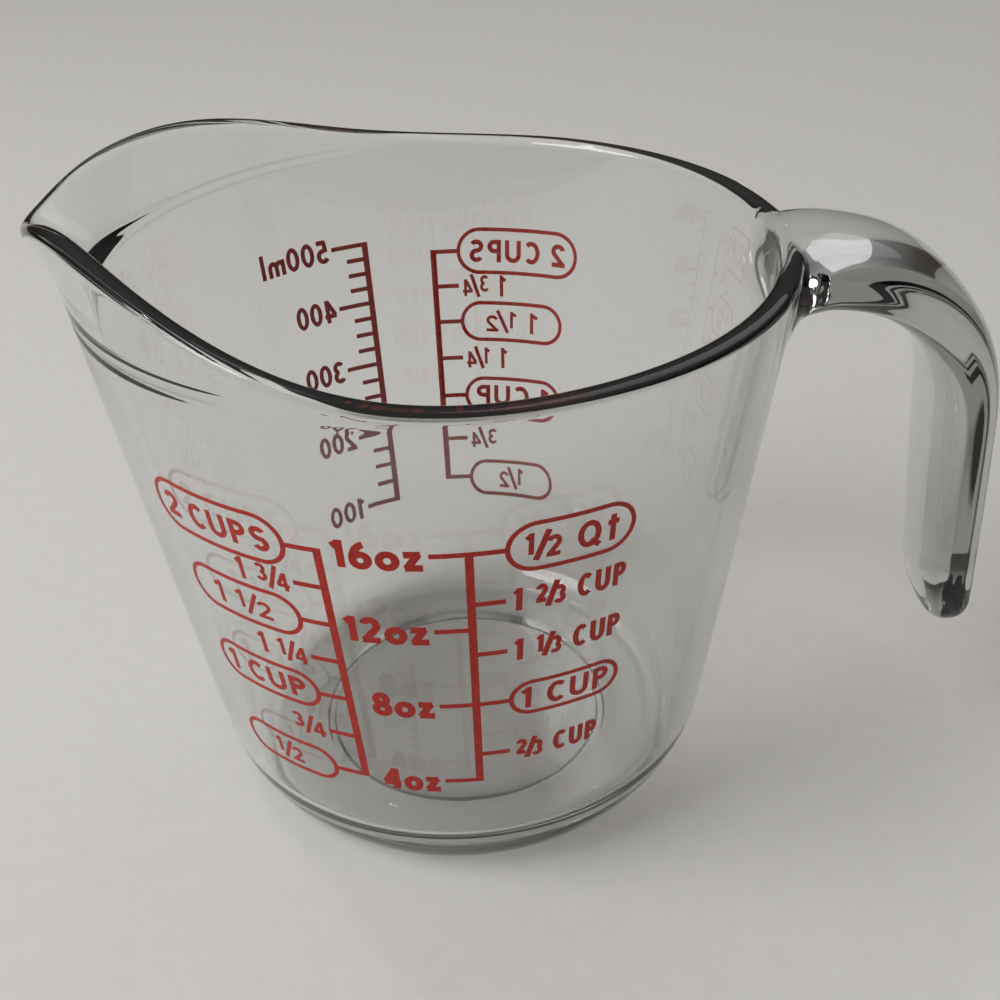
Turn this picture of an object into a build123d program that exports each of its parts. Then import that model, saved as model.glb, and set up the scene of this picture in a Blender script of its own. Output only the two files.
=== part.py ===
from build123d import *
import math
import os

os.makedirs("parts", exist_ok=True)

# Pressed-glass kitchen measuring jug, millimetres, +Z up.
# Origin: the bowl's axis on the plane it stands on. The handle is on +X and the spout on -X.

# Bowl
rim_height = 98.8
outer_base_radius = 44.5
outer_rim_radius = 59.0
wall = 4.0
floor_thickness = 5.2
base_corner_radius = 3.5
base_tuck = 4.4
base_tuck_height = 7.0
corner_room = 0.2
cavity_corner_radius = 8.0
lip_rounding_outside = 1.4
lip_rounding_inside = 1.1
foot_groove_radius = 27.0
foot_groove_width = 1.6
foot_groove_depth = 0.5

# Spout: the wall goes on above the rim's level and turns outwards at the nose
spout_start_height = rim_height - 1.2
spout_top_height = rim_height + 15.2
nose_lean = 1.21
nose_half_angle = 12.3
pinch_lean = -0.17
pinch_ends = (66.0, 102.0)
# the lip's line seen from the side: x over the rim's radius, and rise above the rim's level
lip_line = [(-72, 3.8), (-65.4, 7.2), (-61.5, 10.1), (-57, 11.9), (-51.5, 12.4), (-44, 11.2), (-34.5, 8.2),
            (-18.4, 3.1), (-4, 0.7), (10, 0), (22, 0), (36, 0), (50, 0), (75, 0)]
lip_line_radius = 59.0

# Handle: a flat strap that leaves the rim, turns down and ends free
strap_top_height = rim_height + 1.5
strap_droop = 2.6
strap_bend_radius = 31.5
strap_outer_reach = outer_rim_radius + 35.2
strap_reach_height = rim_height - 38.8
strap_lean = 2.2
strap_end_height = 23.5
strap_root_thickness = 12.4
strap_end_thickness = 9.5
strap_roundness = 2.8
strap_half_widths = [(0, 13.4), (8, 12.9), (35, 13.4), (75, 12.8), (100, 11.2), (125, 10.6)]
root_inset = 5.0
root_half_width = 12.6
tip_length = 6.5

# Fired enamel scales
enamel_thickness = 0.10
spine_width = 1.25
tick_width = 0.85
ring_width = 0.75
tick_length = 5.0
hundred_tick_length = 7.2
minor_tick_length = 4.2
label_gap = 0.8
fraction_size = 0.8
word_weight = 0.92
fraction_weight = 0.74
ounce_weight = 1.2
ring_gap = 0.05
fluid_ounce = 29.5735
cup_measure = 8 * fluid_ounce
lettering_room = 7.0  # least rise from 1 3/4 to 2 cups that full-size lettering needs
cups_scale_azimuth = -107.45
ounce_scale_azimuth = -85.2
back_cups_azimuth = 93.9
millilitre_azimuth = 108.6


def outer_radius(height):
    return outer_base_radius + (outer_rim_radius - outer_base_radius) * height / rim_height


def smooth_step(low, high, value):
    share = min(1.0, max(0.0, (value - low) / (high - low)))
    return share * share * (3 - 2 * share)


def wall_lean(angle_from_nose):
    """Run over rise of the wall above the rim's level."""
    straight = (outer_rim_radius - outer_base_radius) / rim_height
    nose = pinch_lean + nose_lean / (1 + (angle_from_nose / nose_half_angle) ** 2)
    share = smooth_step(pinch_ends[0], pinch_ends[1], angle_from_nose)
    return nose + (straight - nose) * share


def ring_wire(height, inset):
    """Level outline of the bowl; above the spout's start it bulges at the nose."""
    points = []
    for step in range(72):
        azimuth = 5.0 * step
        radius = outer_radius(min(height, spout_start_height)) - inset
        if height > spout_start_height:
            radius += wall_lean(abs(azimuth - 180.0)) * (height - spout_start_height)
        turn = math.radians(azimuth)
        points.append((radius * math.cos(turn), radius * math.sin(turn), height))
    return Wire([Edge.make_spline([Vector(*p) for p in points], periodic=True)])


def lip_cutter():
    """Everything above the rim and the raised lip."""
    share = outer_rim_radius / lip_line_radius
    points = [(x * share, rim_height + rise) for x, rise in lip_line]
    lip = Spline(*points)
    first, last, top = points[0], points[-1], spout_top_height + 16
    frame = Polyline(last, (last[0], top), (first[0] - 10, top), (first[0] - 10, first[1]), first)
    outline = Plane.XZ * make_face(Curve() + [lip, frame])
    return Pos(0, 100, 0) * extrude(outline, 200)


def strap_path():
    """Outer line of the strap in (x, z) with its outward direction and distance from the rim."""
    droop, lean = math.radians(strap_droop), math.radians(strap_lean)
    start_x = outer_rim_radius - 1
    run_x, run_z = math.cos(droop), -math.sin(droop)
    fall_x, fall_z = math.sin(lean), -math.cos(lean)
    # where the two straight lines would cross
    gap_x, gap_z = strap_outer_reach - start_x, strap_reach_height - strap_top_height
    along = (gap_x * -fall_z + gap_z * fall_x) / (run_x * -fall_z + run_z * fall_x)
    turn = math.acos(run_x * fall_x + run_z * fall_z)
    trim = strap_bend_radius * math.tan(turn / 2)
    top_length = along - trim
    middle_x, middle_z = start_x + run_x * top_length + run_z * strap_bend_radius, 0
    middle_z = strap_top_height + run_z * top_length - run_x * strap_bend_radius
    path = []
    for share in (0.0, 0.5, 1.0):
        reach = top_length * share
        path.append((start_x + run_x * reach, strap_top_height + run_z * reach, -run_z, run_x, reach))
    for share in (0.2, 0.4, 0.6, 0.8, 1.0):
        angle = math.pi / 2 - droop - turn * share
        out_x, out_z = math.cos(angle), math.sin(angle)
        path.append((middle_x + strap_bend_radius * out_x, middle_z + strap_bend_radius * out_z,
                     out_x, out_z, top_length + strap_bend_radius * turn * share))
    bend_x, bend_z, out_x, out_z, bend_end = path[-1]
    fall = (bend_z - strap_end_height) / -fall_z
    for share in (0.33, 0.66, 1 - tip_length / fall):
        path.append((bend_x + fall_x * fall * share, bend_z + fall_z * fall * share, out_x, out_z,
                     bend_end + fall * share))
    end = (bend_x + fall_x * fall, bend_z + fall_z * fall, out_x, out_z, bend_end + fall)
    return path, end


def interpolate(table, value):
    for (low, low_value), (high, high_value) in zip(table, table[1:]):
        if value <= high:
            return low_value + (high_value - low_value) * (value - low) / (high - low)
    return table[-1][1]


def strap_section(x, z, out_x, out_z, half_width, thickness, drop=0.0, spread=0.0):
    """Rounded flat section: its crown is at the path, less the drop. The spread widens its top."""
    points = []
    for step in range(32):
        angle = 2 * math.pi * step / 32
        side, rise = math.cos(angle), math.sin(angle)
        side = math.copysign(abs(side) ** (2 / strap_roundness), side) * half_width
        rise = math.copysign(abs(rise) ** (2 / strap_roundness), rise)
        side += math.copysign(spread * ((1 + rise) / 2) ** 2, side) if abs(side) > 0.01 else 0.0
        depth = -drop - thickness / 2 + rise * thickness / 2
        points.append(Vector(x + out_x * depth, side, z + out_z * depth))
    return Wire([Edge.make_spline(points, periodic=True)])


def make_strap():
    path, end = strap_path()
    total = end[4]
    sections = []
    root_x, root_z, out_x, out_z, _ = path[0]
    # the root spreads at the rim and ends inside the wall
    for back, spread, drop, thickness in ((root_inset, 5.5, 2.4, 13.6), (1.0, 4.0, 1.4, 13.2)):
        sections.append(strap_section(root_x - back, root_z, out_x, out_z, root_half_width, thickness,
                                      drop, spread))
    for x, z, nx, nz, reach in path:
        thickness = strap_root_thickness + (strap_end_thickness - strap_root_thickness) * reach / total
        near_rim = 1 - smooth_step(0, 6, reach)
        sections.append(strap_section(x, z, nx, nz, interpolate(strap_half_widths, reach), thickness,
                                      0.9 * near_rim, 2.4 * near_rim))
    # the free end closes like a fingertip
    last_x, last_z, nx, nz, reach = path[-1]
    for share in (0.45, 0.75, 0.93, 1.0):
        keep = math.sqrt(max(0.0, 1 - share ** 2))
        across = interpolate(strap_half_widths, reach) * (0.42 + 0.58 * keep)
        thick = strap_end_thickness * (0.3 + 0.7 * keep)
        x = last_x + (end[0] - last_x) * share
        z = last_z + (end[1] - last_z) * share
        sections.append(strap_section(x, z, nx, nz, across, thick, (strap_end_thickness - thick) / 2))
    return Solid.make_loft(sections)


def tuck_radius():
    """Radius of the turn-in above the base. It leaves room below it for the bottom corner's rounding."""
    run = outer_radius(base_tuck_height) - outer_base_radius + base_tuck
    lean = math.atan2(run, base_tuck_height)
    bend = lean - math.atan((outer_rim_radius - outer_base_radius) / rim_height)
    used = base_corner_radius * math.tan((math.pi / 2 - lean) / 2) + corner_room
    return (math.hypot(run, base_tuck_height) - used) / math.tan(bend / 2)


def turned_body(inset, bottom, corner_radius, tuck):
    """Round lower part up to the spout's start. tuck draws its foot in; the bottom corner is rounded."""
    low = (outer_radius(bottom) - inset - tuck, bottom)
    turn = (outer_radius(base_tuck_height) - inset, base_tuck_height)
    high = (outer_radius(spout_start_height) - inset, spout_start_height)
    side = [low, turn, high] if tuck else [low, high]
    half = make_face(Polyline((0, bottom), *side, (0, spout_start_height), (0, bottom)))
    corner = half.vertices().sort_by_distance((low[0], low[1], 0))[0]
    half = fillet(corner, corner_radius)
    if tuck:
        corner = half.vertices().sort_by_distance((turn[0], turn[1], 0))[0]
        half = fillet(corner, tuck_radius())
    return revolve(Plane.XZ * half, Axis.Z)


def round_ring(height, inset):
    return Wire([Edge.make_circle(outer_radius(height) - inset, Plane((0, 0, height)))])


def bowl_body(inset, bottom, corner_radius, top, tuck=0.0):
    flare = Solid.make_loft([round_ring(spout_start_height, inset), ring_wire(top, inset)], ruled=True)
    return turned_body(inset, bottom, corner_radius, tuck) + flare


def nose_slice(bowl):
    """Volume of a thin slice through the spout's nose, where a bad rounding tears first."""
    reach = outer_rim_radius + 5
    return (bowl & (Pos(-reach, 0, rim_height + 6) * Box(14, 0.2, 16))).volume


def round_lip(bowl, order, wanted):
    """Round the lip's outer (0) or inner (1) edge, as close to the wanted radius as it will go."""
    rings = [edge for edge in bowl.edges()
             if edge.length > 200 and edge.bounding_box().max.Z > rim_height + 5]
    rings.sort(key=lambda edge: -edge.bounding_box().size.Y)
    # once the outer edge is rounded, the inner one is the shortest ring left
    ring = rings[0] if order == 0 else rings[-1]
    for step in range(8):
        try:
            rounded = bowl.fillet(wanted - 0.1 * step, [ring])
        except ValueError:
            continue
        if rounded.is_valid and nose_slice(rounded) > 0.9 * nose_slice(bowl):
            return rounded
    return bowl


def make_glass():
    cavity = bowl_body(wall, floor_thickness, cavity_corner_radius, spout_top_height + 1)
    bowl = bowl_body(0, 0, base_corner_radius, spout_top_height, base_tuck) - lip_cutter() - cavity
    bowl = round_lip(round_lip(bowl, 0, lip_rounding_outside), 1, lip_rounding_inside)
    groove = Pos(0, 0, foot_groove_depth / 2) * (
        Cylinder(foot_groove_radius + foot_groove_width / 2, foot_groove_depth)
        - Cylinder(foot_groove_radius - foot_groove_width / 2, foot_groove_depth))
    return bowl + (make_strap() - cavity) - groove


# Lettering: every sign is bars and arc bands on a frame one unit high.
# ("bar", x, y, x, y) and ("arc", centre x, centre y, radius x, radius y, from degrees, to degrees)
signs = {
    "0": (0.66, [("arc", 0.33, 0.5, 0.235, 0.405, 0, 360)]),
    "1": (0.40, [("bar", 0.26, 0.0, 0.26, 1.0), ("bar", 0.28, 0.90, 0.04, 0.76)]),
    "2": (0.62, [("arc", 0.30, 0.69, 0.21, 0.215, -38, 165), ("bar", 0.475, 0.57, 0.09, 0.09),
                 ("bar", 0.0, 0.095, 0.58, 0.095)]),
    "3": (0.60, [("arc", 0.27, 0.71, 0.20, 0.195, -90, 150), ("arc", 0.27, 0.30, 0.22, 0.205, -150, 90)]),
    "4": (0.66, [("bar", 0.46, 0.0, 0.46, 1.0), ("bar", 0.44, 0.95, 0.06, 0.32),
                 ("bar", 0.0, 0.29, 0.64, 0.29)]),
    "5": (0.60, [("bar", 0.12, 0.905, 0.54, 0.905), ("bar", 0.16, 0.95, 0.13, 0.48),
                 ("arc", 0.27, 0.32, 0.22, 0.225, -150, 122)]),
    "6": (0.64, [("arc", 0.32, 0.31, 0.22, 0.215, 0, 360), ("arc", 0.56, 0.34, 0.46, 0.57, 104, 180)]),
    "8": (0.64, [("arc", 0.32, 0.72, 0.18, 0.185, 0, 360), ("arc", 0.32, 0.29, 0.22, 0.20, 0, 360)]),
    "C": (0.66, [("arc", 0.37, 0.5, 0.275, 0.405, 48, 312)]),
    "U": (0.70, [("bar", 0.10, 1.0, 0.10, 0.36), ("bar", 0.60, 1.0, 0.60, 0.36),
                 ("arc", 0.35, 0.36, 0.25, 0.265, 180, 360)]),
    "P": (0.60, [("bar", 0.10, 0.0, 0.10, 1.0), ("bar", 0.05, 0.905, 0.30, 0.905),
                 ("bar", 0.05, 0.50, 0.30, 0.50), ("arc", 0.29, 0.7025, 0.20, 0.2025, -90, 90)]),
    "S": (0.58, [("arc", 0.29, 0.71, 0.20, 0.195, 30, 270), ("arc", 0.29, 0.30, 0.20, 0.205, -150, 90)]),
    "Q": (0.86, [("arc", 0.40, 0.5, 0.31, 0.405, 0, 360), ("bar", 0.44, 0.26, 0.78, 0.0)]),
    "t": (0.42, [("bar", 0.19, 0.0, 0.19, 0.98), ("bar", 0.0, 0.70, 0.40, 0.70)]),
    "o": (0.66, [("arc", 0.33, 0.33, 0.235, 0.245, 0, 360)]),
    "z": (0.56, [("bar", 0.02, 0.575, 0.50, 0.575), ("bar", 0.44, 0.60, 0.08, 0.07),
                 ("bar", 0.02, 0.085, 0.54, 0.085)]),
    "m": (0.96, [("bar", 0.09, 0.0, 0.09, 0.66), ("arc", 0.27, 0.38, 0.18, 0.19, 0, 180),
                 ("bar", 0.45, 0.0, 0.45, 0.39), ("arc", 0.63, 0.38, 0.18, 0.19, 0, 180),
                 ("bar", 0.81, 0.0, 0.81, 0.39)]),
    "l": (0.24, [("bar", 0.10, 0.0, 0.10, 1.05)]),
    "/": (0.40, [("bar", 0.0, -0.04, 0.40, 1.04)]),
    " ": (0.18, []),
}


def bar_face(x1, y1, x2, y2, width):
    length = math.hypot(x2 - x1, y2 - y1)
    turn = math.degrees(math.atan2(y2 - y1, x2 - x1))
    return Pos((x1 + x2) / 2, (y1 + y2) / 2) * Rot(0, 0, turn) * Rectangle(length, width)


def band_face(x, y, radius_x, radius_y, start, stop, width):
    half = width / 2
    outer_x, outer_y, inner_x, inner_y = radius_x + half, radius_y + half, radius_x - half, radius_y - half
    if stop - start >= 360:
        return Pos(x, y) * (Ellipse(outer_x, outer_y) - Ellipse(inner_x, inner_y))
    outer = Edge.make_ellipse(outer_x, outer_y, start_angle=start, end_angle=stop)
    inner = Edge.make_ellipse(inner_x, inner_y, start_angle=start, end_angle=stop)
    first = Edge.make_line(outer @ 0, inner @ 0)
    last = Edge.make_line(outer @ 1, inner @ 1)
    return Pos(x, y) * Face(Wire([outer, last, inner, first]))


def sign_face(sign, x, y, height, stretch, weight):
    """One letter or figure with its lower left corner at (x, y)."""
    faces = []
    for kind, *place in signs[sign][1]:
        if kind == "bar":
            x1, y1, x2, y2 = place
            faces.append(bar_face(x + x1 * height * stretch, y + y1 * height,
                                  x + x2 * height * stretch, y + y2 * height, weight))
        else:
            cx, cy, rx, ry, start, stop = place
            faces.append(band_face(x + cx * height * stretch, y + cy * height, rx * height * stretch,
                                   ry * height, start, stop, weight))
    whole = faces[0]
    for face in faces[1:]:
        whole = whole + face
    return whole


def sign_layout(words, height, gap):
    """Start, lift and size of each sign at stretch 1, with the shares that stretch and that do not."""
    places, wide, fixed = [], 0.0, 0.0
    for place, sign in enumerate(words):
        small = "/" in words[max(0, place - 1):place + 2] and sign not in "/ "
        size = height * (fraction_size if small else 1.0)
        lift = height - size if small and words[place + 1:place + 2] == "/" else 0.0
        if sign == "/":
            fixed -= 0.12 * height
        places.append((sign, wide, fixed, lift, size, small))
        wide += signs[sign][0] * size
        fixed += (gap - 0.22 if sign == "/" else gap) * height
    return places, wide, fixed - gap * height


def write_words(words, height, width, weight, gap=0.17):
    """Faces of a label of a set width, centred on the origin. A fraction is set small round its stroke."""
    places, wide, fixed = sign_layout(words, height, gap)
    stretch = (width - fixed) / wide
    faces = []
    for sign, wide_before, fixed_before, lift, size, small in places:
        if signs[sign][1]:
            pen = wide_before * stretch + fixed_before
            face = sign_face(sign, pen, lift, size, stretch, weight * (0.85 if small else 1.0))
            faces.append(Pos(-width / 2, -height / 2) * face)
    return faces


def enamel_shell():
    """Thin skin on the outside of the bowl that every print is cut from."""
    low, high = 2 * base_tuck_height + 1.0, spout_start_height - 1.0
    skin = enamel_thickness
    section = Polyline((outer_radius(low), low), (outer_radius(low) + skin, low),
                       (outer_radius(high) + skin, high), (outer_radius(high), high),
                       (outer_radius(low), low))
    return revolve(Plane.XZ * make_face(section), Axis.Z)


shell = enamel_shell()


def lay_on(face, azimuth, height):
    """Press a flat outline straight in towards the axis onto the bowl's outside."""
    turn = math.radians(azimuth)
    outwards = Vector(math.cos(turn), math.sin(turn), 0)
    reach = outer_radius(height)
    spot = Plane(origin=(outwards.X * (reach - 10), outwards.Y * (reach - 10), height),
                 x_dir=(-math.sin(turn), math.cos(turn), 0), z_dir=outwards)
    return (extrude(spot * face, 20) & shell).solids()


def cavity_volume(height):
    """Millilitres held up to a height, less the rounded corner at the floor."""
    low, high = outer_radius(floor_thickness) - wall, outer_radius(height) - wall
    depth = height - floor_thickness
    corner = (1 - math.pi / 4) * cavity_corner_radius ** 2 * 2 * math.pi * (low - 0.22 * cavity_corner_radius)
    return (math.pi * depth * (low * low + low * high + high * high) / 3 - corner) / 1000


def fill_height(volume):
    low, high = floor_thickness, rim_height
    for _ in range(50):
        middle = (low + high) / 2
        low, high = (middle, high) if cavity_volume(middle) < volume else (low, middle)
    return (low + high) / 2


def print_share():
    """How much of its full size the lettering has: less where the amounts lie closer together."""
    rise = fill_height(2 * cup_measure) - fill_height(1.75 * cup_measure)
    return min(1.0, rise / lettering_room)


lettering = print_share()


def azimuth_step(length, height):
    return math.degrees(length * lettering / outer_radius(height))


def capsule_ring(length, height):
    return SlotOverall(length, height) - SlotOverall(length - 2 * ring_width, height - 2 * ring_width)


def rule_solids(azimuth, levels, left, right):
    """Spine with its ticks. left and right give each level's tick length, or 0."""
    low, high = min(levels), max(levels)
    middle = (low + high) / 2
    thickness = tick_width * lettering
    pieces = [Pos(0, 0) * Rectangle(spine_width * lettering, high - low + thickness)]
    for level, left_length, right_length in zip(levels, left, right):
        length = (left_length + right_length) * lettering
        if length > 0:
            shift = (right_length - left_length) * lettering / 2
            pieces.append(Pos(shift, level - middle) * Rectangle(length, thickness))
    whole = pieces[0]
    for piece in pieces[1:]:
        whole = whole + piece
    return lay_on(whole, azimuth, middle)


def save(name, solids):
    export_step(Compound(children=list(solids)), "parts/" + name + ".step")
    print(name, len(solids), "solids")


def label_solids(words, size, width, weight, azimuth, level, gap=0.17):
    faces = write_words(words, size * lettering, width * lettering, weight * lettering, gap)
    return [solid for face in faces for solid in lay_on(face, azimuth, level)]


def capsule_solids(length, height, azimuth, level):
    return lay_on(capsule_ring(length * lettering, height * lettering), azimuth, level)


def cup_scale(prefix, azimuth):
    """Cups, read to the left of the spine, with a capsule round the main amounts."""
    # cups held, words, name, capsule length and height, letter height, label width
    rows = [(2, "2 CUPS", "two_cups", 26.0, 9.6, 4.6, 20.6), (1.75, "1 3/4", "cup_1_3_4", 0, 0, 4.4, 9.4),
            (1.5, "1 1/2", "cup_1_1_2", 22.2, 8.6, 4.4, 11.6), (1.25, "1 1/4", "cup_1_1_4", 0, 0, 4.4, 9.0),
            (1, "1 CUP", "one_cup", 21.2, 8.2, 4.4, 16.4), (0.75, "3/4", "cup_3_4", 0, 0, 4.4, 6.0),
            (0.5, "1/2", "half_cup", 19.6, 8.0, 4.4, 5.8)]
    levels = [fill_height(share * cup_measure) for share, *_ in rows]
    save(prefix + "_rule", rule_solids(azimuth, levels, [tick_length] * 7, [0] * 7))
    rings = []
    for level, (_, words, name, ring_length, ring_height, size, width) in zip(levels, rows):
        centre = tick_length + label_gap + width / 2
        if ring_length:
            centre = tick_length + ring_gap + ring_length / 2
            spot = azimuth - azimuth_step(centre, level)
            rings += capsule_solids(ring_length, ring_height, spot, level)
        solids = label_solids(words, size, width, word_weight if "C" in words else fraction_weight,
                              azimuth - azimuth_step(centre, level), level)
        save(prefix + "_label_" + name, solids)
    save(prefix + "_capsules", rings)


def ounce_scale():
    """Fluid ounces to the left of the spine, quart and cup amounts to its right."""
    left_rows = [(16, "16oz", 13.0), (12, "12oz", 12.5), (8, "8oz", 9.6), (4, "4oz", 9.2)]
    right_rows = [(16, "1/2 Qt", "half_quart", 20.0, 9.2, 4.9, 14.4),
                  (40 / 3, "1 2/3 CUP", "cup_1_2_3", 0, 0, 4.4, 17.6),
                  (32 / 3, "1 1/3 CUP", "cup_1_1_3", 0, 0, 4.4, 17.0),
                  (8, "1 CUP", "one_cup", 18.4, 7.6, 4.6, 14.6),
                  (16 / 3, "2/3 CUP", "cup_2_3", 0, 0, 4.4, 13.6)]
    left_levels = [fill_height(ounces * fluid_ounce) for ounces, *_ in left_rows]
    right_levels = [fill_height(ounces * fluid_ounce) for ounces, *_ in right_rows]
    azimuth = ounce_scale_azimuth
    left, right = [tick_length + 0.6] * 4 + [0] * 5, [0] * 4 + [tick_length] * 5
    save("ounce_rule", rule_solids(azimuth, left_levels + right_levels, left, right))
    for level, (ounces, words, width) in zip(left_levels, left_rows):
        spot = azimuth - azimuth_step(tick_length + 0.6 + label_gap + width / 2, level)
        save("ounce_label_" + str(ounces), label_solids(words, 5.1, width, ounce_weight, spot, level, 0.12))
    rings = []
    for level, (_, words, name, ring_length, ring_height, size, width) in zip(right_levels, right_rows):
        centre = tick_length + 1.4 * label_gap + width / 2
        if ring_length:
            centre = tick_length + ring_gap + ring_length / 2
            spot = azimuth + azimuth_step(centre, level)
            rings += capsule_solids(ring_length, ring_height, spot, level)
        solids = label_solids(words, size, width, word_weight,
                              azimuth + azimuth_step(centre, level), level)
        save("ounce_label_" + name, solids)
    save("ounce_capsules", rings)


def millilitre_scale():
    """Millilitres at the back, read to the right of the spine."""
    amounts = [500 - 25 * step for step in range(17)]
    levels = [fill_height(amount) for amount in amounts]
    ticks = [hundred_tick_length if amount % 100 == 0 else minor_tick_length for amount in amounts]
    save("millilitre_rule", rule_solids(millilitre_azimuth, levels, [0] * 17, ticks))
    for level, amount in zip(levels, amounts):
        if amount % 100 == 0:
            words, width = ("500ml", 15.6) if amount == 500 else (str(amount), 9.0)
            spot = millilitre_azimuth + azimuth_step(hundred_tick_length + label_gap + width / 2, level)
            save("millilitre_label_" + str(amount), label_solids(words, 4.7, width, word_weight, spot, level, 0.12))


if __name__ == "__main__":
    save("glass_jug", make_glass().solids())
    cup_scale("front_cups", cups_scale_azimuth)
    ounce_scale()
    cup_scale("back_cups", back_cups_azimuth)
    millilitre_scale()
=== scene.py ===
import math
import bpy
import bmesh
import numpy as np
from mathutils import Matrix, Vector


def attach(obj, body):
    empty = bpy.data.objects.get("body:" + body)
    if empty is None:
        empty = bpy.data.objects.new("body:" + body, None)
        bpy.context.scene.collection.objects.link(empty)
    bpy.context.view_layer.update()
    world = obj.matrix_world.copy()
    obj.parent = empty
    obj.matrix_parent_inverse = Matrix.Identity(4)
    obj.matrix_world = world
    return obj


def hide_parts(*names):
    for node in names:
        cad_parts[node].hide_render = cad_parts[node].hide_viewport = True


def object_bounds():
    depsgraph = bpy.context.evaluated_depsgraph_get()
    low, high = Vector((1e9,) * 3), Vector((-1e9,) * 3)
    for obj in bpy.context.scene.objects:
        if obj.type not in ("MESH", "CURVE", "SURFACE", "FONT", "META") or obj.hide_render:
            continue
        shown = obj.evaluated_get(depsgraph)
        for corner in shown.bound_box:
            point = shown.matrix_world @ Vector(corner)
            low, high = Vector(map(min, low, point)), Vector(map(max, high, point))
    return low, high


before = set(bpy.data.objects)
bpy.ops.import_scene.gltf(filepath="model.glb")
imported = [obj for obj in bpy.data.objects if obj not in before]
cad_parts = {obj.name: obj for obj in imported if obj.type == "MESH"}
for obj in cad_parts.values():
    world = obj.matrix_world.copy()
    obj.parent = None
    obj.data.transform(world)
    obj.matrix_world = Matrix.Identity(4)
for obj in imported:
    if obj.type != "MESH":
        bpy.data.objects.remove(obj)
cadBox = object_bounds()
mm = 0.001

# sizes of the pressed glass, in millimetres
bowl = {
    "rimHeight": 98.8, "baseRadius": 44.5, "rimRadius": 59.0, "wall": 4.0, "floor": 5.2,
    "baseCorner": 3.5, "tuck": 4.4, "tuckHeight": 7.0, "cornerRoom": 0.2, "cavityCorner": 8.0,
    "lipRound": 1.55, "lipSquareness": 0.72, "noseRound": (10.0, 50.0),  # degrees from the nose
    "grooveRadius": 27.0, "grooveWidth": 1.6, "grooveDepth": 0.5,
    "underRings": (9.0, 18.0), "floorRings": (26.0, 17.0, 8.0), "footRing": 3.0,
    "spoutStart": 97.6, "creaseSoftness": 0.4, "noseLean": 1.21, "noseHalfAngle": 12.3,
    "pinchLean": -0.17, "pinchEnds": (66.0, 102.0),
    "printSeat": 0.03, "printSeatTop": 86.0,  # the prints sit this deep in the glass, fused to it
    "seatFade": (4.0, 8.0),  # millimetres over which that depth comes in low down and goes high up
    "ridge": 0.22, "ridgeWidth": 0.55, "ridgeEnds": (55.0, 80.0), "creaseSpan": 1.3, "creaseRoom": (0.8, 0.3),
    "turns": 360, "wallSteps": (34, 16, 14), "lipSteps": 14, "cornerSteps": 14,
}
# the lip's top edge: height over the distance along the jug, the nose at the left
lipLine = [(-72, 102.6), (-65.4, 106.0), (-61.5, 108.9), (-57, 110.7), (-51.5, 111.2), (-44, 110.0),
           (-34.5, 107.0), (-18.4, 101.9), (-4, 99.5), (10, 98.8), (22, 98.8), (36, 98.8), (50, 98.8),
           (75, 98.8)]


def smoothStep(low, high, value):
    share = min(1.0, max(0.0, (value - low) / (high - low)))
    return share * share * (3 - 2 * share)


def smoothLine(points):
    # natural cubic through the points, returned as a function of x
    xs = np.array([p[0] for p in points], float)
    ys = np.array([p[1] for p in points], float)
    steps = np.diff(xs)
    count = len(xs)
    rows, right = np.eye(count), np.zeros(count)
    for i in range(1, count - 1):
        rows[i, i - 1:i + 2] = steps[i - 1], 2 * (steps[i - 1] + steps[i]), steps[i]
        right[i] = 6 * ((ys[i + 1] - ys[i]) / steps[i] - (ys[i] - ys[i - 1]) / steps[i - 1])
    bend = np.linalg.solve(rows, right)

    def at(x):
        i = int(min(count - 2, max(0, np.searchsorted(xs, x) - 1)))
        h, left, after = steps[i], xs[i + 1] - x, x - xs[i]
        return (bend[i] * left ** 3 + bend[i + 1] * after ** 3) / (6 * h) \
            + (ys[i] / h - bend[i] * h / 6) * left + (ys[i + 1] / h - bend[i + 1] * h / 6) * after
    return at


lipHeight = smoothLine(lipLine)
wallSlope = (bowl["rimRadius"] - bowl["baseRadius"]) / bowl["rimHeight"]


def wallLean(fromNose):
    nose = bowl["pinchLean"] + bowl["noseLean"] / (1 + (fromNose / bowl["noseHalfAngle"]) ** 2)
    return nose + (wallSlope - nose) * smoothStep(*bowl["pinchEnds"], fromNose)


def outerRadius(fromNose, height):
    over = height - bowl["spoutStart"]
    rise = (over + math.sqrt(over * over + bowl["creaseSoftness"] ** 2)) / 2
    return bowl["baseRadius"] + wallSlope * height + (wallLean(fromNose) - wallSlope) * rise


def lipTop(azimuth, fromNose, inwards):
    # where the lip's cut meets the wall, this far in from its outer face
    height = bowl["rimHeight"]
    for _ in range(16):
        reach = outerRadius(fromNose, height) - inwards
        height += 0.6 * (lipHeight(reach * math.cos(azimuth)) - height)  # part of the way, to settle
    return height


def signedPower(value, power):
    return math.copysign(abs(value) ** power, value)


def creaseRidge(fromNose, height):
    # the mould's soft step where the lip leaves the bowl
    step = math.exp(-((height - bowl["spoutStart"]) / bowl["ridgeWidth"]) ** 2)
    return bowl["ridge"] * step * (1 - smoothStep(*bowl["ridgeEnds"], fromNose))


def wallRows(low, high):
    # heights of the wall's rows, close together where it changes direction
    first = min(bowl["spoutStart"] - bowl["creaseSpan"], high - bowl["creaseRoom"][0])
    second = min(bowl["spoutStart"] + bowl["creaseSpan"], high - bowl["creaseRoom"][1])
    lower, crease, upper = bowl["wallSteps"]
    return ([low + (first - low) * step / lower for step in range(lower)]
            + [first + (second - first) * step / crease for step in range(crease)]
            + [second + (high - second) * step / upper for step in range(upper + 1)])


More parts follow.
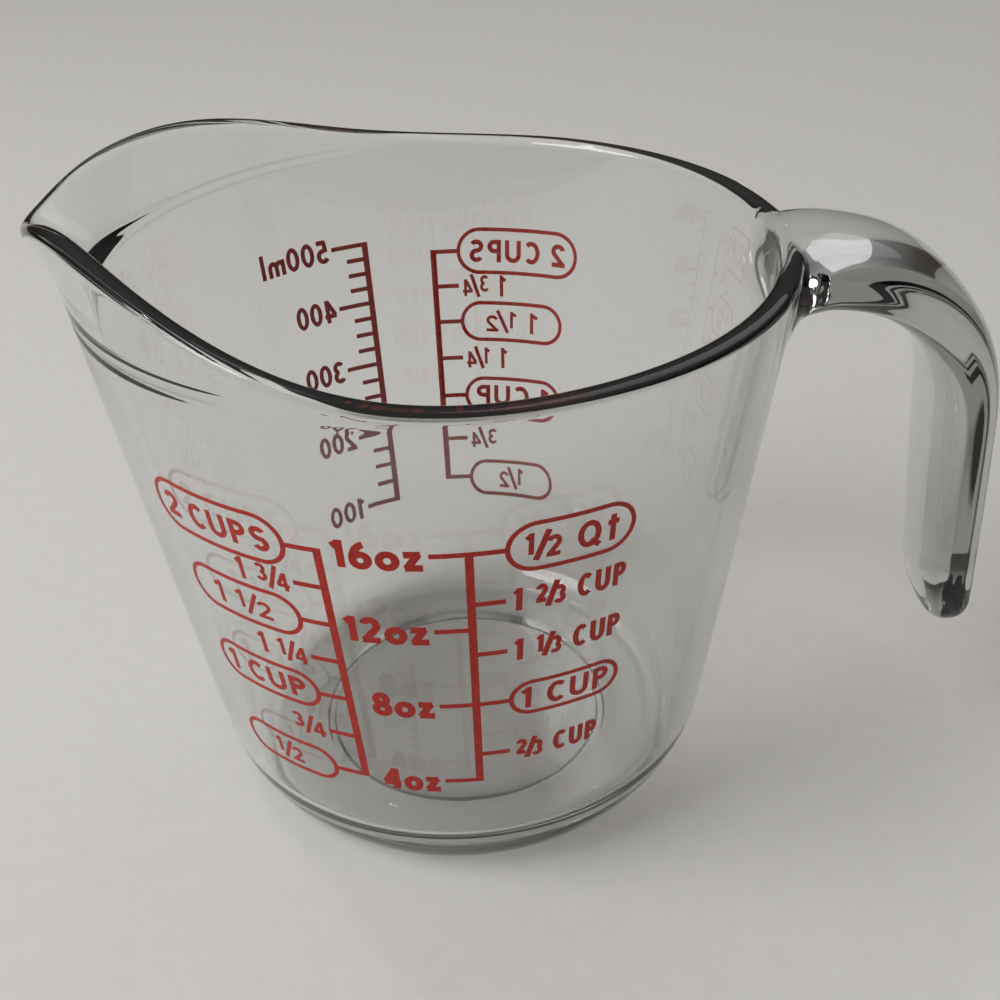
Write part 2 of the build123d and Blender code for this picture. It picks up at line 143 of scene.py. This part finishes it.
def bowlProfile(azimuth):
    # once round the glass at one azimuth, as (radius, height): up the outside, over the lip, down the inside
    fromNose = abs(math.degrees(azimuth) - 180)
    tilt = math.atan(wallSlope)
    wall, floor, lip = bowl["wall"], bowl["floor"], bowl["lipRound"]
    line = [(radius, 0) for radius in bowl["underRings"]]
    edge, depth = bowl["grooveWidth"] / 2, bowl["grooveDepth"]
    for share, rise in ((-1.25, 0), (-0.95, 0.25), (-0.55, 0.9), (0, 1),  # the ring groove's soft section
                        (0.55, 0.9), (0.95, 0.25), (1.25, 0)):
        line.append((bowl["grooveRadius"] + edge * share, depth * rise))
    corner, turn = bowl["baseCorner"], bowl["tuckHeight"]
    run = wallSlope * turn + bowl["tuck"]
    lean = math.atan2(run, turn)
    used = corner * math.tan((math.pi / 2 - lean) / 2)
    reach = math.hypot(run, turn) - used - bowl["cornerRoom"]
    footRadius, big = bowl["baseRadius"] - bowl["tuck"] - used, reach / math.tan((lean - tilt) / 2)
    line.append((footRadius - bowl["footRing"], 0))
    for step in range(bowl["cornerSteps"] + 1):
        angle = -math.pi / 2 + (math.pi / 2 - lean) * step / bowl["cornerSteps"]
        line.append((footRadius + corner * math.cos(angle), corner + corner * math.sin(angle)))
    start = turn + reach * math.cos(tilt)
    middleX = bowl["baseRadius"] + wallSlope * start - big * math.cos(tilt)
    middleZ = start + big * math.sin(tilt)
    for step in range(bowl["cornerSteps"]):
        angle = -lean + (lean - tilt) * step / bowl["cornerSteps"]
        line.append((middleX + big * math.cos(angle), middleZ + big * math.sin(angle)))
    outerTop, innerTop = lipTop(azimuth, fromNose, 0), lipTop(azimuth, fromNose, wall)
    for height in wallRows(start, outerTop - lip)[1:]:
        seat = bowl["printSeat"] * smoothStep(start, start + bowl["seatFade"][0], height)
        seat *= 1 - smoothStep(bowl["printSeatTop"], bowl["printSeatTop"] + bowl["seatFade"][1], height)
        line.append((outerRadius(fromNose, height) + seat - creaseRidge(fromNose, height), height))
    low = np.array((outerRadius(fromNose, outerTop - lip), outerTop - lip))
    high = np.array((outerRadius(fromNose, innerTop - lip) - wall, innerTop - lip))
    crest = (outerRadius(fromNose, outerTop) + outerRadius(fromNose, innerTop) - wall, outerTop + innerTop)
    rise = np.array(crest) / 2 - (low + high) / 2
    power = 1 - (1 - bowl["lipSquareness"]) * smoothStep(*bowl["noseRound"], fromNose)  # rounder at the nose
    for step in range(1, bowl["lipSteps"]):
        angle = math.pi * step / bowl["lipSteps"]
        across = signedPower(math.cos(angle), power)
        line.append(tuple((low + high) / 2 + (low - high) / 2 * across
                          + rise * signedPower(math.sin(angle), power)))
    corner = bowl["cavityCorner"]
    middle = bowl["baseRadius"] - wall + wallSlope * (floor + corner) - corner / math.cos(tilt)
    lowest = floor + corner - corner * math.sin(tilt)
    for height in reversed(wallRows(lowest, innerTop - lip)):
        line.append((outerRadius(fromNose, height) - wall - creaseRidge(fromNose, height), height))
    for step in range(1, bowl["cornerSteps"] + 1):
        angle = -tilt - (math.pi / 2 - tilt) * step / bowl["cornerSteps"]
        line.append((middle + corner * math.cos(angle), floor + corner + corner * math.sin(angle)))
    return line + [(radius, floor) for radius in bowl["floorRings"]]


def gridMesh(name, rings, poles):
    # rings of equal length joined into a closed skin, with a pole vertex beyond the first and last ring
    mesh = bmesh.new()
    rows = [[mesh.verts.new(point) for point in ring] for ring in rings]
    count = len(rows[0])
    for low, high in zip(rows, rows[1:]):
        for i in range(count):
            j = (i + 1) % count
            mesh.faces.new((low[i], low[j], high[j], high[i]))
    for pole, row, flip in ((poles[0], rows[0], True), (poles[1], rows[-1], False)):
        tip = mesh.verts.new(pole)
        for i in range(count):
            j = (i + 1) % count
            mesh.faces.new((tip, row[j], row[i]) if flip else (tip, row[i], row[j]))
    bmesh.ops.recalc_face_normals(mesh, faces=mesh.faces)
    data = bpy.data.meshes.new(name)
    mesh.to_mesh(data)
    mesh.free()
    for face in data.polygons:
        face.use_smooth = True
    piece = bpy.data.objects.new(name, data)
    bpy.context.scene.collection.objects.link(piece)
    return piece


def makeBowl():
    turns = bowl["turns"]
    lines = [bowlProfile(2 * math.pi * turn / turns) for turn in range(turns)]
    rings = []
    for place in range(len(lines[0])):
        ring = []
        for turn, line in enumerate(lines):
            azimuth = 2 * math.pi * turn / turns
            radius, height = line[place]
            ring.append((radius * math.cos(azimuth), radius * math.sin(azimuth), height))
        rings.append(ring)
    return gridMesh("jugGlass", rings, ((0, 0, 0), (0, 0, bowl["floor"])))


# the handle, in millimetres and degrees; a reach is a length along it from the rim
strap = {
    "startX": 58.0, "topHeight": 100.3, "droop": 2.6, "bendRadius": 29.5, "bendEase": 16.0, "bendSteps": 240,
    "outerReach": 94.2, "reachHeight": 60.0, "lean": 2.2, "endHeight": 23.5,
    "rootThickness": 12.4, "endThickness": 9.5, "roundness": 2.8,
    "halfWidths": [(-12, 13.4), (0, 13.4), (8, 12.9), (35, 13.4), (75, 12.8), (100, 11.2), (125, 10.6)],
    "tipLength": 6.5, "tipWidth": 0.30, "tipThickness": 0.14,  # shares that the free end keeps as it closes
    "rootSpread": 5.2, "spreadEnds": (-6.0, 7.5), "rootDrop": 2.4, "dropEnds": (-6.0, 7.0), "rootReach": 9.0,
    "rootFillet": 3.0, "filletHalfWidth": 13.0, "filletHalfHeight": 6.0, "filletDrop": 1.2,
    "filletTurn": 0.35,
    "rootStart": -2.6, "around": 96, "rootSteps": 26, "along": 150, "tipSteps": 16,
}


def easedBend(heading, turn):
    # the bend from its start: its curvature rises, holds and falls, so that reflections run smoothly
    radius, ease, count = strap["bendRadius"], strap["bendEase"], strap["bendSteps"]
    length = (radius * turn + ease) / count
    places, headings = [Vector((0.0, 0.0))], [heading]
    for i in range(count):
        reach = (i + 0.5) * length
        pull = min(1.0, reach / ease, (count * length - reach) / ease)
        middle = headings[-1] - pull * length / radius / 2
        places.append(places[-1] + Vector((math.cos(middle), math.sin(middle))) * length)
        headings.append(headings[-1] - pull * length / radius)
    return places, headings, length


def strapLine():
    # the strap's outer line: straight off the rim, one bend, straight down; and its whole length
    droop, lean = math.radians(strap["droop"]), math.radians(strap["lean"])
    run = Vector((math.cos(droop), -math.sin(droop)))
    fall = Vector((math.sin(lean), -math.cos(lean)))
    start = Vector((strap["startX"], strap["topHeight"]))
    gap = Vector((strap["outerReach"], strap["reachHeight"])) - start
    along = (gap.x * -fall.y + gap.y * fall.x) / (run.x * -fall.y + run.y * fall.x)
    bend, heading, length = easedBend(-droop, math.acos(run.dot(fall)))
    end = bend[-1]
    topLength = along - (end.x * -fall.y + end.y * fall.x) / (run.x * -fall.y + run.y * fall.x)
    bendStart = start + run * topLength
    bendEnd = topLength + length * (len(bend) - 1)
    fallStart = bendStart + end
    total = bendEnd + (fallStart.y - strap["endHeight"]) / -fall.y

    def at(reach):
        # a place on the line, with the direction that faces out from the strap there
        if reach < topLength:
            return start + run * reach, Vector((-run.y, run.x))
        if reach >= bendEnd:
            return fallStart + fall * (reach - bendEnd), Vector((-fall.y, fall.x))
        step = (reach - topLength) / length
        i, share = int(step), step - int(step)
        angle = heading[i] + (heading[i + 1] - heading[i]) * share
        return bendStart + bend[i].lerp(bend[i + 1], share), Vector((-math.sin(angle), math.cos(angle)))
    return at, total


strapHalfWidth = smoothLine(strap["halfWidths"])


def mathNode(tree, operation, first, second=None):
    node = tree.nodes.new("ShaderNodeMath")
    node.operation = operation
    for place, value in enumerate((first, second)):
        if isinstance(value, bpy.types.NodeSocket):
            tree.links.new(value, node.inputs[place])
        elif value is not None:
            node.inputs[place].default_value = value
    return node.outputs[0]


def savedValue(tree, name, kind="FLOAT"):
    node = tree.nodes.new("GeometryNodeInputNamedAttribute")
    node.data_type = kind
    node.inputs["Name"].default_value = name
    return next(socket for socket in node.outputs if socket.enabled)


def roundedSquare(tree, value, roundness):
    # sign(v) |v| ^ (2 / roundness), which turns a circle into a soft rectangle
    power = mathNode(tree, "DIVIDE", 2.0, roundness)
    size = mathNode(tree, "POWER", mathNode(tree, "ABSOLUTE", value), power)
    return mathNode(tree, "MULTIPLY", mathNode(tree, "SIGN", value), size)


def scaled(tree, vector, size):
    node = tree.nodes.new("ShaderNodeVectorMath")
    node.operation = "SCALE"
    if isinstance(vector, bpy.types.NodeSocket):
        tree.links.new(vector, node.inputs[0])
    else:
        node.inputs[0].default_value = vector
    tree.links.new(size, node.inputs["Scale"])
    return node.outputs[0]


def added(tree, first, second):
    node = tree.nodes.new("ShaderNodeVectorMath")
    tree.links.new(first, node.inputs[0])
    tree.links.new(second, node.inputs[1])
    return node.outputs[0]


def strapSweep():
    # sweeps a soft rectangle along the strap's middle line, which carries its widths and thicknesses
    tree = bpy.data.node_groups.new("strapSweep", "GeometryNodeTree")
    addSocket(tree, "Middle Line", "NodeSocketGeometry")
    addSocket(tree, "Roundness", "NodeSocketFloat", value=strap["roundness"])
    addSocket(tree, "Points Around", "NodeSocketInt", value=strap["around"])
    addSocket(tree, "Glass", "NodeSocketMaterial")
    addSocket(tree, "Strap", "NodeSocketGeometry", out=True)
    new, link = tree.nodes.new, tree.links.new
    inside, outside = new("NodeGroupInput"), new("NodeGroupOutput")
    path, circle, spot = (new("GeometryNodeMeshToCurve"), new("GeometryNodeCurvePrimitiveCircle"),
                          new("GeometryNodeCaptureAttribute"))
    link(inside.outputs["Middle Line"], path.inputs["Mesh"])
    link(inside.outputs["Points Around"], circle.inputs["Resolution"])
    circle.inputs["Radius"].default_value = 1.0
    spot.capture_items.new("VECTOR", "Spot")
    link(circle.outputs["Curve"], spot.inputs["Geometry"])
    link(new("GeometryNodeInputPosition").outputs[0], spot.inputs["Spot"])
    sweep = new("GeometryNodeCurveToMesh")
    sweep.inputs["Fill Caps"].default_value = True
    link(path.outputs["Curve"], sweep.inputs["Curve"])
    link(spot.outputs["Geometry"], sweep.inputs["Profile Curve"])
    split = new("ShaderNodeSeparateXYZ")
    link(spot.outputs["Spot"], split.inputs[0])
    across = roundedSquare(tree, split.outputs["X"], inside.outputs["Roundness"])
    rise = roundedSquare(tree, split.outputs["Y"], inside.outputs["Roundness"])
    # the root spreads most along the strap's upper side
    upper = mathNode(tree, "POWER", mathNode(tree, "DIVIDE", mathNode(tree, "ADD", rise, 1.0), 2.0), 2.0)
    widest = mathNode(tree, "ADD", savedValue(tree, "halfWidth"),
                      mathNode(tree, "MULTIPLY", savedValue(tree, "spread"), upper))
    sideways = scaled(tree, (0, 1, 0), mathNode(tree, "MULTIPLY", across, widest))
    outwards = scaled(tree, savedValue(tree, "outward", "FLOAT_VECTOR"),
                      mathNode(tree, "MULTIPLY", rise, savedValue(tree, "halfThickness")))
    move, realize, paint = (new("GeometryNodeSetPosition"), new("GeometryNodeRealizeInstances"),
                            new("GeometryNodeSetMaterial"))
    middle = savedValue(tree, "middle", "FLOAT_VECTOR")
    link(added(tree, middle, added(tree, sideways, outwards)), move.inputs["Position"])
    link(sweep.outputs["Mesh"], move.inputs["Geometry"])
    link(move.outputs["Geometry"], realize.inputs["Geometry"])
    link(realize.outputs["Geometry"], paint.inputs["Geometry"])
    link(inside.outputs["Glass"], paint.inputs["Material"])
    link(paint.outputs["Geometry"], outside.inputs["Strap"])
    return tree


def strapStations(total):
    # reach along the strap, and how far its free end has closed there, from 0 to 1
    first, last = strap["rootReach"], total - strap["tipLength"]
    for step in range(strap["rootSteps"]):
        yield strap["rootStart"] + (first - strap["rootStart"]) * step / strap["rootSteps"], 0.0
    for step in range(strap["along"] + 1):
        yield first + (last - first) * step / strap["along"], 0.0
    for step in range(1, strap["tipSteps"] + 1):
        tip = math.sin(math.pi / 2 * step / (strap["tipSteps"] + 0.5))
        yield last + strap["tipLength"] * tip, tip


def middleLine(name):
    line, total = strapLine()
    rows = []
    tipWidth, tipThickness = strap["tipWidth"], strap["tipThickness"]
    for reach, tip in strapStations(total):
        place, out = line(reach)
        keep = math.sqrt(max(0.0, 1 - tip * tip))
        full = strap["rootThickness"] + (strap["endThickness"] - strap["rootThickness"]) * reach / total
        depth = full / 2 + strap["rootDrop"] * (1 - smoothStep(*strap["dropEnds"], reach))
        rows.append({"middle": (place.x - out.x * depth, 0, place.y - out.y * depth),
                     "outward": (out.x, 0, out.y),
                     "halfWidth": strapHalfWidth(reach) * (tipWidth + (1 - tipWidth) * keep),
                     "halfThickness": full * (tipThickness + (1 - tipThickness) * keep) / 2,
                     "spread": strap["rootSpread"] * (1 - smoothStep(*strap["spreadEnds"], reach))})
    data = bpy.data.meshes.new(name)
    data.from_pydata([row["middle"] for row in rows], [(i, i + 1) for i in range(len(rows) - 1)], [])
    for key, kind in (("middle", "FLOAT_VECTOR"), ("outward", "FLOAT_VECTOR"), ("halfWidth", "FLOAT"),
                      ("halfThickness", "FLOAT"), ("spread", "FLOAT")):
        values = data.attributes.new(key, kind, "POINT")
        flat = np.array([row[key] for row in rows], dtype=np.float32).ravel()
        values.data.foreach_set("vector" if kind == "FLOAT_VECTOR" else "value", flat)
    piece = bpy.data.objects.new(name, data)
    bpy.context.scene.collection.objects.link(piece)
    return piece


def wallGap(point):
    # how far outside the bowl's wall a point lies
    fromNose = abs(math.degrees(math.atan2(point.y, point.x)) % 360 - 180)
    return math.hypot(point.x, point.y) - outerRadius(fromNose, point.z)


def swellRoot(mesh):
    # a fillet between the strap and the wall, on its sides and its underside
    fillet, turn = strap["rootFillet"], strap["filletTurn"]
    halfWidth, halfHeight = strap["filletHalfWidth"], strap["filletHalfHeight"]
    middleHeight = strap["topHeight"] - strap["rootThickness"] / 2 - strap["filletDrop"]
    for vert in mesh.verts:
        gap = max(0.0, wallGap(vert.co))
        if vert.co.x < strap["startX"] + strap["rootReach"] and gap < fillet:
            sideways = vert.co.y / halfWidth / halfWidth
            outwards = (vert.co.z - middleHeight) / halfHeight / halfHeight
            size = max(1e-6, math.hypot(sideways, outwards))
            swell = fillet - math.sqrt(fillet ** 2 - (fillet - gap) ** 2)
            swell *= smoothStep(-turn, turn, -outwards / size)
            vert.co.y += swell * sideways / size
            vert.co.z += swell * outwards / size


def makeStrap():
    piece = middleLine("strapGlass")
    tree = strapSweep()
    sweep = piece.modifiers.new("sweep", "NODES")
    sweep.node_group = tree
    sockets = {item.name: item.identifier for item in tree.interface.items_tree if item.in_out == "INPUT"}
    sweep[sockets["Roundness"]] = strap["roundness"]
    sweep[sockets["Points Around"]] = strap["around"]
    sweep[sockets["Glass"]] = pressedGlass
    bpy.context.view_layer.update()
    swept = bpy.data.meshes.new_from_object(piece.evaluated_get(bpy.context.evaluated_depsgraph_get()))
    piece.modifiers.clear()
    mesh = bmesh.new()
    mesh.from_mesh(swept)
    swellRoot(mesh)
    bmesh.ops.recalc_face_normals(mesh, faces=mesh.faces)
    mesh.to_mesh(swept)
    mesh.free()
    piece.data = swept
    print("strap swept:", len(swept.polygons), "faces")
    return piece


seam = {"weld": 0.02, "fromX": 48.0, "above": 75.0, "halfWidth": 24.0, "reach": 1.4, "rounds": 8, "ease": 0.5}


def joinGlass(body, handle):
    # one seamless skin, with the seam eased so that the handle grows out of the bowl
    union = body.modifiers.new("join", "BOOLEAN")
    union.operation, union.solver, union.object = "UNION", "EXACT", handle
    bpy.context.view_layer.update()
    solved = bpy.data.meshes.new_from_object(body.evaluated_get(bpy.context.evaluated_depsgraph_get()))
    body.modifiers.clear()
    body.data = solved
    bpy.data.objects.remove(handle)
    mesh = bmesh.new()
    mesh.from_mesh(solved)
    bmesh.ops.remove_doubles(mesh, verts=mesh.verts, dist=seam["weld"])
    near = [vert for vert in mesh.verts
            if vert.co.x > seam["fromX"] and vert.co.z > seam["above"] and abs(vert.co.y) < seam["halfWidth"]
            and abs(wallGap(vert.co)) < seam["reach"]]
    for _ in range(seam["rounds"]):
        bmesh.ops.smooth_vert(mesh, verts=near, factor=seam["ease"],
                              use_axis_x=True, use_axis_y=True, use_axis_z=True)
    bmesh.ops.triangulate(mesh, faces=[face for face in mesh.faces if len(face.verts) > 4])
    bmesh.ops.scale(mesh, vec=(mm, mm, mm), verts=mesh.verts)
    for vert in mesh.verts:  # the finer skin keeps inside the designed box
        for axis in range(3):
            vert.co[axis] = min(max(vert.co[axis], cadBox[0][axis]), cadBox[1][axis])
    mesh.to_mesh(solved)
    mesh.free()
    for face in solved.polygons:
        face.use_smooth = True
    return body


def addSocket(tree, name, kind, out=False, value=None):
    socket = tree.interface.new_socket(name=name, in_out="OUTPUT" if out else "INPUT", socket_type=kind)
    if value is not None:
        socket.default_value = value
    return socket


def wanderGroup():
    # slow and fine unevenness of a surface, as a height and a mask
    tree = bpy.data.node_groups.new("surfaceWander", "ShaderNodeTree")
    addSocket(tree, "Slow Scale", "NodeSocketFloat", value=30.0)
    addSocket(tree, "Fine Scale", "NodeSocketFloat", value=600.0)
    addSocket(tree, "Fine Share", "NodeSocketFloat", value=0.1)
    addSocket(tree, "Height", "NodeSocketFloat", out=True)
    addSocket(tree, "Mask", "NodeSocketFloat", out=True)
    nodes, links = tree.nodes, tree.links
    inside, outside = nodes.new("NodeGroupInput"), nodes.new("NodeGroupOutput")
    place = nodes.new("ShaderNodeTexCoord")
    slow, fine = nodes.new("ShaderNodeTexNoise"), nodes.new("ShaderNodeTexNoise")
    slow.inputs["Detail"].default_value = 1.0
    fine.inputs["Detail"].default_value = 4.0
    share = nodes.new("ShaderNodeMath")
    share.operation = "MULTIPLY_ADD"
    links.new(place.outputs["Object"], slow.inputs["Vector"])
    links.new(place.outputs["Object"], fine.inputs["Vector"])
    links.new(inside.outputs["Slow Scale"], slow.inputs["Scale"])
    links.new(inside.outputs["Fine Scale"], fine.inputs["Scale"])
    links.new(fine.outputs["Fac"], share.inputs[0])
    links.new(inside.outputs["Fine Share"], share.inputs[1])
    links.new(slow.outputs["Fac"], share.inputs[2])
    links.new(share.outputs[0], outside.inputs["Height"])
    links.new(fine.outputs["Fac"], outside.inputs["Mask"])
    return tree


wander = wanderGroup()
# waves: slow scale, fine scale and the share of the fine one; rough: mask from, mask to, value from, value to
glassFinish = {
    "tint": (0.985, 0.985, 0.982, 1), "deepTint": (0.965, 0.967, 0.962, 1), "ior": 1.52,
    "absorb": (0.61, 0.63, 0.62, 1), "density": 44.0, "waves": (42, 900, 0.012), "ripple": 0.00004,
    "rough": (0.45, 0.8, 0.0, 0.05), "lampTint": (0.50, 0.49, 0.475, 1),
}
enamelFinish = {
    "thin": (0.52, 0.022, 0.009, 1), "thick": (0.36, 0.010, 0.004, 1), "coat": (0.35, 0.65, 0.0, 1.0),
    "waves": (260, 2600, 0.5), "grain": 0.000006, "rough": (0.3, 0.7, 0.30, 0.48), "gloss": 0.3,
}


def newMaterial(name):
    material = bpy.data.materials.new(name)
    material.use_nodes = True
    nodes = material.node_tree.nodes
    return material, nodes, material.node_tree.links, nodes["Principled BSDF"]


def wanderNode(nodes, slow, fine, share):
    node = nodes.new("ShaderNodeGroup")
    node.node_tree = wander
    node.inputs["Slow Scale"].default_value = slow
    node.inputs["Fine Scale"].default_value = fine
    node.inputs["Fine Share"].default_value = share
    return node


def mixColours(nodes, links, first, second, factor):
    mix = nodes.new("ShaderNodeMix")
    mix.data_type = "RGBA"
    mix.inputs["A"].default_value, mix.inputs["B"].default_value = first, second
    links.new(factor, mix.inputs["Factor"])
    return mix.outputs["Result"]


def mapRange(nodes, links, value, low, high, toLow, toHigh):
    node = nodes.new("ShaderNodeMapRange")
    for name, number in (("From Min", low), ("From Max", high), ("To Min", toLow), ("To Max", toHigh)):
        node.inputs[name].default_value = number
    links.new(value, node.inputs["Value"])
    return node.outputs["Result"]


def addBump(nodes, links, height, distance, shader):
    bump = nodes.new("ShaderNodeBump")
    bump.inputs["Distance"].default_value = distance
    links.new(height, bump.inputs["Height"])
    links.new(bump.outputs["Normal"], shader.inputs["Normal"])


def makeGlassMaterial():
    material, nodes, links, shader = newMaterial("pressedGlass")
    uneven = wanderNode(nodes, *glassFinish["waves"])
    links.new(mixColours(nodes, links, glassFinish["tint"], glassFinish["deepTint"], uneven.outputs["Mask"]),
              shader.inputs["Base Color"])
    links.new(mapRange(nodes, links, uneven.outputs["Mask"], *glassFinish["rough"]),
              shader.inputs["Roughness"])
    shader.inputs["Transmission Weight"].default_value = 1.0
    shader.inputs["Metallic"].default_value = 0.0
    shader.inputs["IOR"].default_value = glassFinish["ior"]
    addBump(nodes, links, uneven.outputs["Height"], glassFinish["ripple"], shader)
    path, clear, blend = (nodes.new("ShaderNodeLightPath"), nodes.new("ShaderNodeBsdfTransparent"),
                          nodes.new("ShaderNodeMixShader"))  # lamps shine through to the floor
    clear.inputs["Color"].default_value = glassFinish["lampTint"]
    links.new(path.outputs["Is Shadow Ray"], blend.inputs["Fac"])
    links.new(shader.outputs["BSDF"], blend.inputs[1])
    links.new(clear.outputs["BSDF"], blend.inputs[2])
    links.new(blend.outputs["Shader"], nodes["Material Output"].inputs["Surface"])
    soak = nodes.new("ShaderNodeVolumeAbsorption")
    soak.inputs["Color"].default_value = glassFinish["absorb"]
    soak.inputs["Density"].default_value = glassFinish["density"]
    links.new(soak.outputs["Volume"], nodes["Material Output"].inputs["Volume"])
    return material


def makeEnamelMaterial():
    material, nodes, links, shader = newMaterial("firedEnamel")
    uneven = wanderNode(nodes, *enamelFinish["waves"])
    coat = mapRange(nodes, links, uneven.outputs["Mask"], *enamelFinish["coat"])
    links.new(mixColours(nodes, links, enamelFinish["thin"], enamelFinish["thick"], coat),
              shader.inputs["Base Color"])
    links.new(mapRange(nodes, links, uneven.outputs["Mask"], *enamelFinish["rough"]),
              shader.inputs["Roughness"])
    shader.inputs["Specular IOR Level"].default_value = enamelFinish["gloss"]
    addBump(nodes, links, uneven.outputs["Height"], enamelFinish["grain"], shader)
    return material


pressedGlass, firedEnamel = makeGlassMaterial(), makeEnamelMaterial()
jugGlass = joinGlass(makeBowl(), makeStrap())
print("glass made:", len(jugGlass.data.polygons), "faces")
jugGlass.data.materials.clear()
jugGlass.data.materials.append(pressedGlass)
for name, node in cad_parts.items():
    if name != "glass_jug":
        for slot in node.material_slots:
            slot.material = firedEnamel
print("finishes set")

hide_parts("glass_jug")
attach(jugGlass, "root")

# metres and watts; a sky stop is a share of the way up, with its colour
studio = {
    "floorRadius": 1.3, "floorSides": 128, "floorGap": 0.0004, "floorWaves": (8, 240, 0.4), "floorRough": 0.6,
    "floorColour": (0.70, 0.685, 0.66, 1), "floorFlecks": (0.64, 0.625, 0.60, 1),
    "skyRim": (0.12, (0.115, 0.098, 0.090, 1)), "skyMiddle": (0.42, (0.42, 0.41, 0.395, 1)),
    "skyTop": (0.85, (1.0, 0.985, 0.96, 1)), "skyStrength": 0.45, "lampAim": (0.0, 0.0, 0.05),
    "keyPlace": (-0.85, -0.35, 1.0), "keySize": 0.8, "keyPower": 11.5,
    "sparkPlace": (-0.55, 0.35, 1.5), "sparkSize": 0.07, "sparkPower": 1.1,
    "fillPlace": (0.5, 0.9, 1.1), "fillSize": 1.0, "fillPower": 1.6,
}


def makeFloor():
    mesh = bmesh.new()
    bmesh.ops.create_circle(mesh, cap_ends=True, segments=studio["floorSides"], radius=studio["floorRadius"])
    bmesh.ops.translate(mesh, vec=(0, 0, -studio["floorGap"]), verts=mesh.verts)
    data = bpy.data.meshes.new("studioFloor")
    mesh.to_mesh(data)
    mesh.free()
    floor = bpy.data.objects.new("studioFloor", data)
    bpy.context.scene.collection.objects.link(floor)
    material, nodes, links, shader = newMaterial("paleFloor")
    uneven = wanderNode(nodes, *studio["floorWaves"])
    links.new(mixColours(nodes, links, studio["floorColour"], studio["floorFlecks"], uneven.outputs["Mask"]),
              shader.inputs["Base Color"])
    shader.inputs["Roughness"].default_value = studio["floorRough"]
    data.materials.append(material)


def makeSky():
    world = bpy.data.worlds.new("softRoom")
    bpy.context.scene.world = world
    world.use_nodes = True
    nodes, links = world.node_tree.nodes, world.node_tree.links
    place, split, ramp = (nodes.new("ShaderNodeTexCoord"), nodes.new("ShaderNodeSeparateXYZ"),
                          nodes.new("ShaderNodeValToRGB"))
    stops = ramp.color_ramp.elements
    stops[0].position, stops[0].color = studio["skyRim"]
    stops[1].position, stops[1].color = studio["skyTop"]
    middle = stops.new(studio["skyMiddle"][0])
    middle.color = studio["skyMiddle"][1]
    links.new(place.outputs["Generated"], split.inputs[0])
    links.new(split.outputs["Z"], ramp.inputs["Fac"])
    background = nodes["Background"]
    background.inputs["Strength"].default_value = studio["skyStrength"]
    links.new(ramp.outputs["Color"], background.inputs["Color"])


def makeLight(name, place, size, power):
    light = bpy.data.lights.new(name, "AREA")
    light.shape, light.size, light.energy = "DISK", size, power
    lamp = bpy.data.objects.new(name, light)
    lamp.location = place
    lamp.rotation_euler = (Vector(studio["lampAim"]) - Vector(place)).to_track_quat("-Z", "Y").to_euler()
    bpy.context.scene.collection.objects.link(lamp)


view = {"place": (0.0111, -0.2092, 0.1817), "yaw": -0.69, "pitch": 32.4, "roll": -2.4,  # metres, degrees
        "lens": 48.86, "sensor": 36.0, "nearest": 0.01}


def makeCamera():
    camera = bpy.data.cameras.new("benchCamera")
    camera.lens, camera.sensor_width, camera.clip_start = view["lens"], view["sensor"], view["nearest"]
    seat = bpy.data.objects.new("benchCamera", camera)
    bpy.context.scene.collection.objects.link(seat)
    yaw, pitch, roll = (math.radians(view[key]) for key in ("yaw", "pitch", "roll"))
    seat.rotation_euler = (Matrix.Rotation(-yaw, 3, "Z") @ Matrix.Rotation(math.pi / 2 - pitch, 3, "X")
                           @ Matrix.Rotation(roll, 3, "Z")).to_euler()
    seat.location = view["place"]
    bpy.context.scene.camera = seat


makeFloor()
makeSky()
for lamp in ("key", "spark", "fill"):
    makeLight(lamp + "Light", studio[lamp + "Place"], studio[lamp + "Size"], studio[lamp + "Power"])
makeCamera()
bpy.context.scene.view_settings.view_transform = "Standard"
print("studio set")
